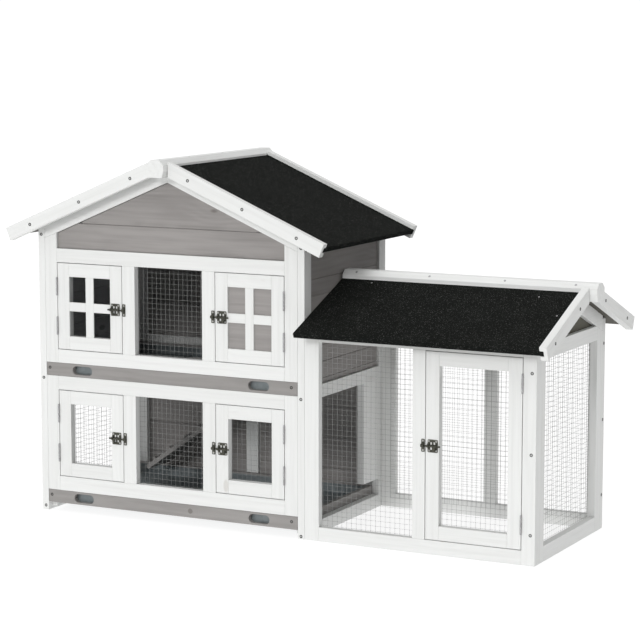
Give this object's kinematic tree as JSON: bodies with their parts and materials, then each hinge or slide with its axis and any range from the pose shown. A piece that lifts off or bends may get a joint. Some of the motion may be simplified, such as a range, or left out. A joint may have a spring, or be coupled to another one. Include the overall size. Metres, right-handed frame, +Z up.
{
  "type": "rabbit hutch",
  "caption": "Two-storey wooden rabbit hutch with a wire ground run beside it, felted gable roofs, hinged doors with bolts, pull-out trays and a cleated ramp.",
  "frame": {"origin": "centre of the object's bounding box in plan, at ground level", "axes": "+X along the hutch from the house to the run, +Y to the back, +Z up"},
  "size_m": [1.599, 0.63, 0.9736],
  "materials": {
    "white_paint": "satin white paint over softwood",
    "grey_stain": "matt grey-brown stain, the grain showing",
    "black_felt": "board under black mineral felt",
    "galvanised_wire": "galvanised welded wire",
    "tray_sheet": "grey-blue sheet steel",
    "clear_acrylic": "clear acrylic sheet",
    "hinge_steel": "zinc-plated steel",
    "bolt_steel": "dark aged steel"
  },
  "bodies": {
    "house": {"house_left_side_frame": "white_paint", "house_right_side_frame": "white_paint", "house_upper_front_frame": "white_paint", "house_lower_front_frame": "white_paint", "house_back_frame": "white_paint", "house_ridge_bar": "white_paint", "house_front_bargeboard_left": "white_paint", "house_front_bargeboard_right": "white_paint", "house_back_bargeboard_left": "white_paint", "house_back_bargeboard_right": "white_paint", "run_front_frame": "white_paint", "run_back_frame": "white_paint", "run_side_frame": "white_paint", "run_ridge_bar": "white_paint", "run_bargeboard_front": "white_paint", "run_bargeboard_back": "white_paint", "house_left_boards": "grey_stain", "house_right_boards": "grey_stain", "house_gable_board": "grey_stain", "house_back_boards": "grey_stain", "ramp": "grey_stain", "house_roof_left": "black_felt", "house_roof_right": "black_felt", "run_roof_front": "black_felt", "run_roof_back": "black_felt", "house_left_window_wire": "galvanised_wire", "house_upper_wire": "galvanised_wire", "house_lower_wire": "galvanised_wire", "run_front_wire": "galvanised_wire", "run_back_wire": "galvanised_wire", "run_side_wire": "galvanised_wire", "upper_left_door_hinge_top": "hinge_steel", "upper_left_door_hinge_bottom": "hinge_steel", "upper_right_door_hinge_top": "hinge_steel", "upper_right_door_hinge_bottom": "hinge_steel", "lower_left_door_hinge_top": "hinge_steel", "lower_left_door_hinge_bottom": "hinge_steel", "lower_right_door_hinge_top": "hinge_steel", "lower_right_door_hinge_bottom": "hinge_steel", "run_door_hinge_top": "hinge_steel", "run_door_hinge_bottom": "hinge_steel"},
    "upper_left_door": {"upper_left_door_frame": "white_paint", "upper_left_door_acrylic": "clear_acrylic"},
    "upper_left_bolt": {"upper_left_door_bolt": "bolt_steel"},
    "upper_right_door": {"upper_right_door_frame": "white_paint", "upper_right_door_board": "grey_stain"},
    "upper_right_bolt": {"upper_right_door_bolt": "bolt_steel"},
    "lower_left_door": {"lower_left_door_frame": "white_paint", "lower_left_door_wire": "galvanised_wire"},
    "lower_left_bolt": {"lower_left_door_bolt": "bolt_steel"},
    "lower_right_door": {"lower_right_door_frame": "white_paint", "lower_right_door_wire": "galvanised_wire"},
    "lower_right_bolt": {"lower_right_door_bolt": "bolt_steel"},
    "run_door": {"run_door_frame": "white_paint", "run_door_wire": "galvanised_wire"},
    "run_bolt": {"run_door_bolt": "bolt_steel"},
    "upper_tray": {"upper_tray_box": "grey_stain", "upper_tray_sheet": "tray_sheet"},
    "lower_tray": {"lower_tray_box": "grey_stain", "lower_tray_sheet": "tray_sheet"}
  },
  "joints": [
    {"name": "upper_left_door_swing", "type": "hinge", "parent": "house", "child": "upper_left_door", "pos_m": [-0.6638, -0.2428, 0.566], "axis": [0, 0, -1], "range_deg": [0, 105]},
    {"name": "upper_left_bolt_slide", "type": "slide", "parent": "upper_left_door", "child": "upper_left_bolt", "axis": [1, 0, 0], "range_m": [0, 0.0105]},
    {"name": "upper_right_door_swing", "type": "hinge", "parent": "house", "child": "upper_right_door", "pos_m": [0.0288, -0.2428, 0.566], "axis": [0, 0, 1], "range_deg": [0, 105]},
    {"name": "upper_right_bolt_slide", "type": "slide", "parent": "upper_right_door", "child": "upper_right_bolt", "axis": [-1, 0, 0], "range_m": [0, 0.0105]},
    {"name": "lower_left_door_swing", "type": "hinge", "parent": "house", "child": "lower_left_door", "pos_m": [-0.6638, -0.2428, 0.2175], "axis": [0, 0, -1], "range_deg": [0, 105]},
    {"name": "lower_left_bolt_slide", "type": "slide", "parent": "lower_left_door", "child": "lower_left_bolt", "axis": [1, 0, 0], "range_m": [0, 0.0105]},
    {"name": "lower_right_door_swing", "type": "hinge", "parent": "house", "child": "lower_right_door", "pos_m": [0.0288, -0.2428, 0.2175], "axis": [0, 0, 1], "range_deg": [0, 105]},
    {"name": "lower_right_bolt_slide", "type": "slide", "parent": "lower_right_door", "child": "lower_right_bolt", "axis": [-1, 0, 0], "range_m": [0, 0.0105]},
    {"name": "run_door_swing", "type": "hinge", "parent": "house", "child": "run_door", "pos_m": [0.6891, -0.2428, 0.2785], "axis": [0, 0, 1], "range_deg": [0, 105]},
    {"name": "run_bolt_slide", "type": "slide", "parent": "run_door", "child": "run_bolt", "axis": [-1, 0, 0], "range_m": [0, 0.0105]},
    {"name": "upper_tray_slide", "type": "slide", "parent": "house", "child": "upper_tray", "axis": [0, -1, 0], "range_m": [0, 0.4]},
    {"name": "lower_tray_slide", "type": "slide", "parent": "house", "child": "lower_tray", "axis": [0, -1, 0], "range_m": [0, 0.4]}
  ]
}
